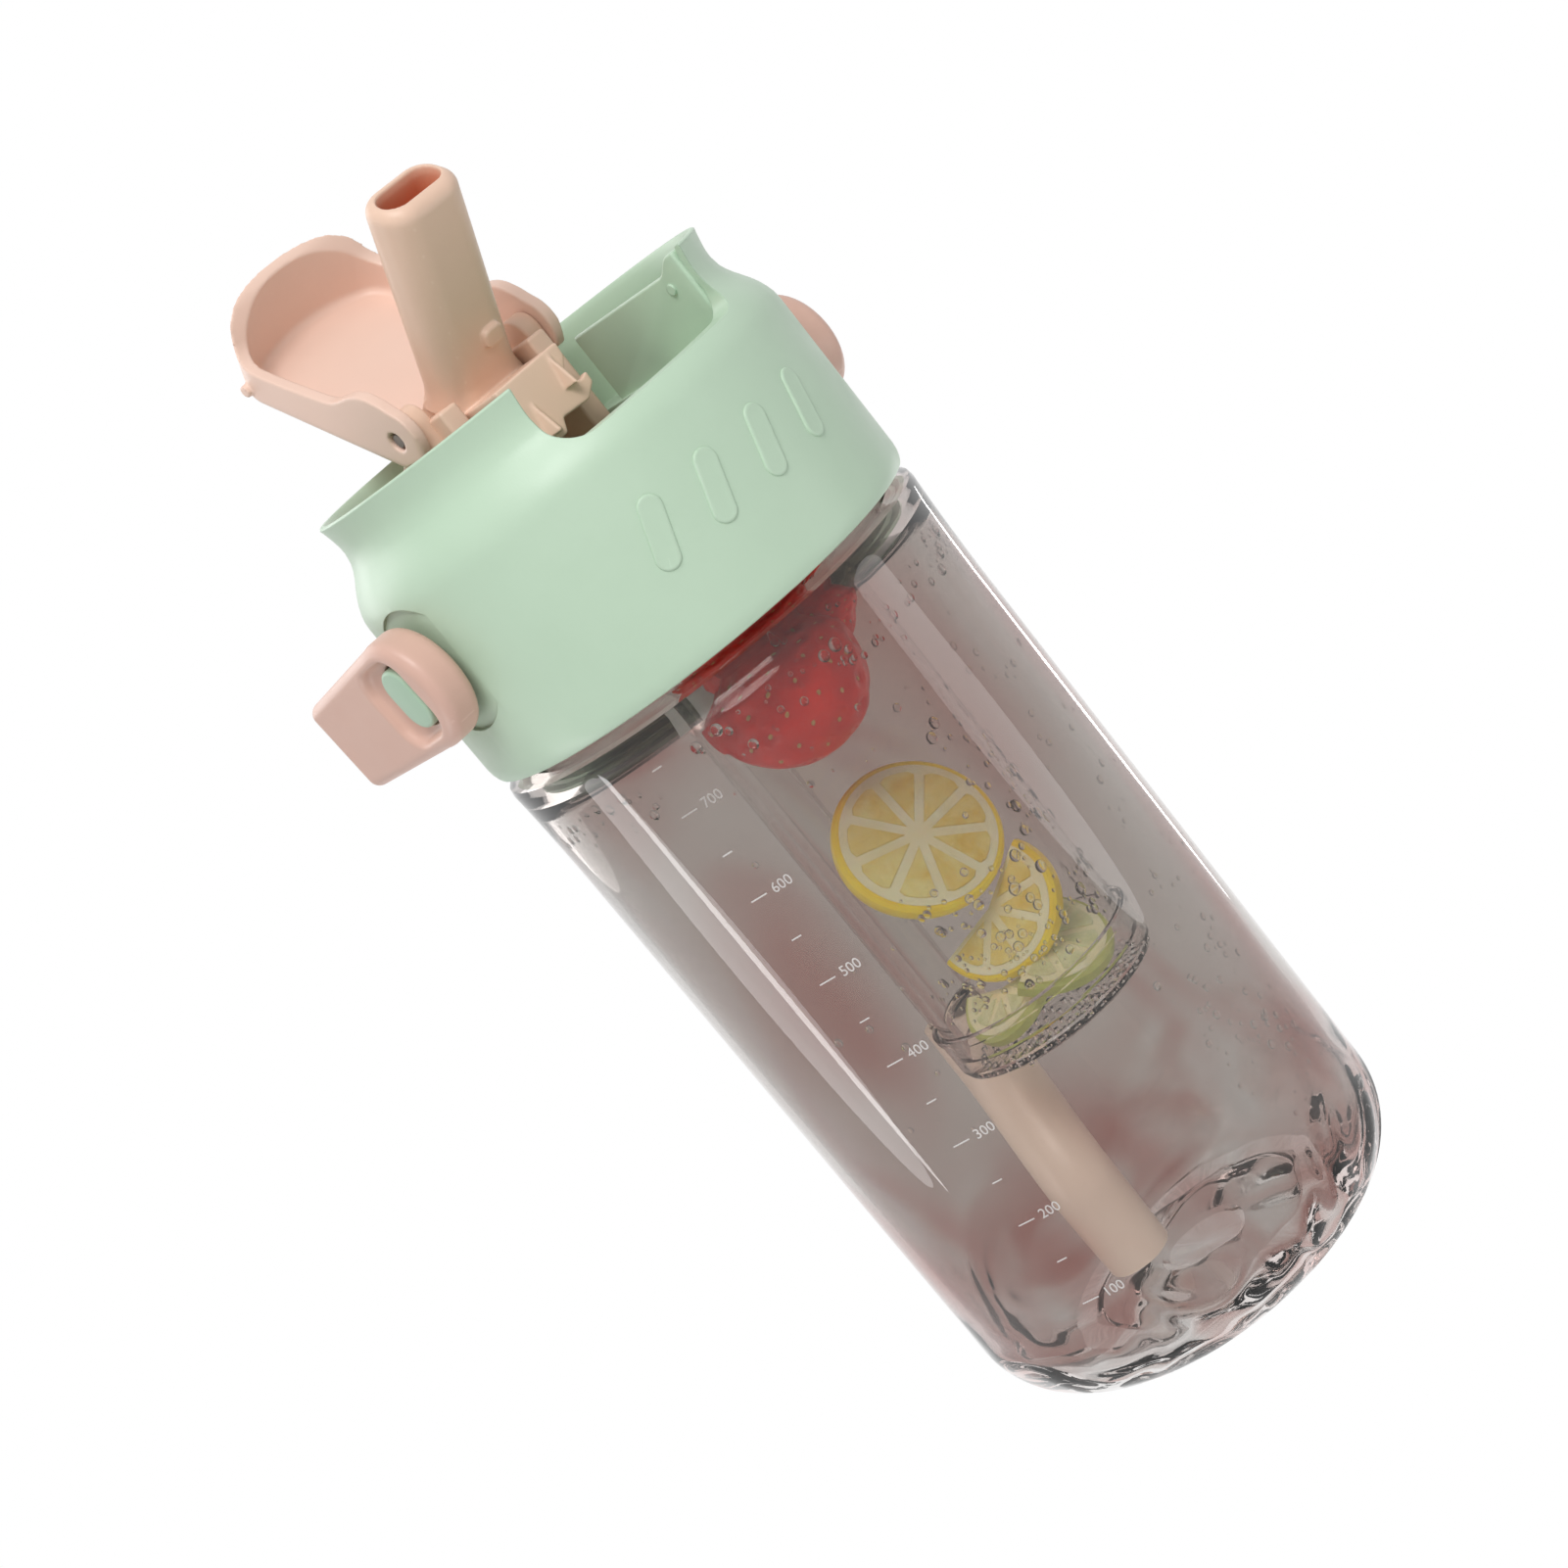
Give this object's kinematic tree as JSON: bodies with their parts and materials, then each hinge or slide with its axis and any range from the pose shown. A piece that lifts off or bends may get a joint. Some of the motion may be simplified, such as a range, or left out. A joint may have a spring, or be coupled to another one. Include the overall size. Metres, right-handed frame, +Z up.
{
  "type": "tea infuser bottle",
  "caption": "Clear drinking bottle with a screw lid, flip cover over a folding spout, hanging infuser and drinking straw, shown open.",
  "frame": {"origin": "middle of the base, on the surface it stands on", "axes": "+Z up the bottle, -Y the front, where the spout leans and the lid is notched, +X to the bottle's own left"},
  "size_m": [0.1068, 0.0954, 0.2472],
  "materials": {
    "clear_plastic": "clear, polished",
    "mint_plastic": "satin moulded, mint green",
    "pink_plastic": "satin moulded, pale pink",
    "silicone": "milky silicone rubber",
    "pin_steel": "plain steel pin"
  },
  "bodies": {
    "bottle": {"bottle_body": "clear_plastic"},
    "seal": {"lid_seal": "silicone"},
    "lid": {"lid_shell": "mint_plastic", "lid_liner": "mint_plastic", "vent_valve": "silicone", "hinge_pin_left": "pin_steel", "hinge_pin_right": "pin_steel", "spout_carrier": "pink_plastic", "spout_seal": "silicone", "riser_tube": "clear_plastic", "riser_connector": "silicone", "straw": "pink_plastic"},
    "cover": {"flip_cover": "pink_plastic"},
    "spout": {"spout": "pink_plastic"},
    "infuser": {"infuser_cup": "clear_plastic"},
    "strainer": {"infuser_strainer": "clear_plastic"},
    "strap_left": {"strap_end_left": "pink_plastic"},
    "strap_right": {"strap_end_right": "pink_plastic"},
    "button_left": {"strap_button_left": "mint_plastic"},
    "button_right": {"strap_button_right": "mint_plastic"}
  },
  "joints": [
    {"name": "lid_rise", "type": "slide", "parent": "bottle", "child": "seal", "axis": [0, 0, 1], "range_m": [0, 0.0061]},
    {"name": "lid_turn", "type": "hinge", "parent": "seal", "child": "lid", "pos_m": [0, 0, 0.17], "axis": [0, 0, 1], "range_deg": [0, 540]},
    {"name": "cover_hinge", "type": "hinge", "parent": "lid", "child": "cover", "pos_m": [0, 0.0105, 0.2094], "axis": [1, 0, 0], "range_deg": [0, 144.7]},
    {"name": "spout_fold", "type": "hinge", "parent": "lid", "child": "spout", "pos_m": [0, 0.012, 0.206], "axis": [1, 0, 0], "range_deg": [0, 58.7]},
    {"name": "infuser_pull", "type": "slide", "parent": "lid", "child": "infuser", "axis": [0, 0, -1], "range_m": [0, 0.0095]},
    {"name": "strainer_pull", "type": "slide", "parent": "infuser", "child": "strainer", "axis": [0, 0, -1], "range_m": [0, 0.0065]},
    {"name": "strap_left_turn", "type": "hinge", "parent": "lid", "child": "strap_left", "pos_m": [-0.0459, 0, 0.177], "axis": [1, 0, 0], "continuous": true},
    {"name": "strap_right_turn", "type": "hinge", "parent": "lid", "child": "strap_right", "pos_m": [0.0459, 0, 0.177], "axis": [1, 0, 0], "continuous": true},
    {"name": "button_left_press", "type": "slide", "parent": "strap_left", "child": "button_left", "axis": [1, 0, 0], "range_m": [0, 0.0012], "stiffness_N_per_m": 800, "springref_m": -0.0003},
    {"name": "button_right_press", "type": "slide", "parent": "strap_right", "child": "button_right", "axis": [-1, 0, 0], "range_m": [0, 0.0012], "stiffness_N_per_m": 800, "springref_m": -0.0003}
  ],
  "couplings": [
    {"joint": "lid_rise", "follows": "lid_turn", "m_per_rad": 0.00063662},
    {"joint": "spout_fold", "follows": "cover_hinge", "ratio": 0.40498}
  ]
}
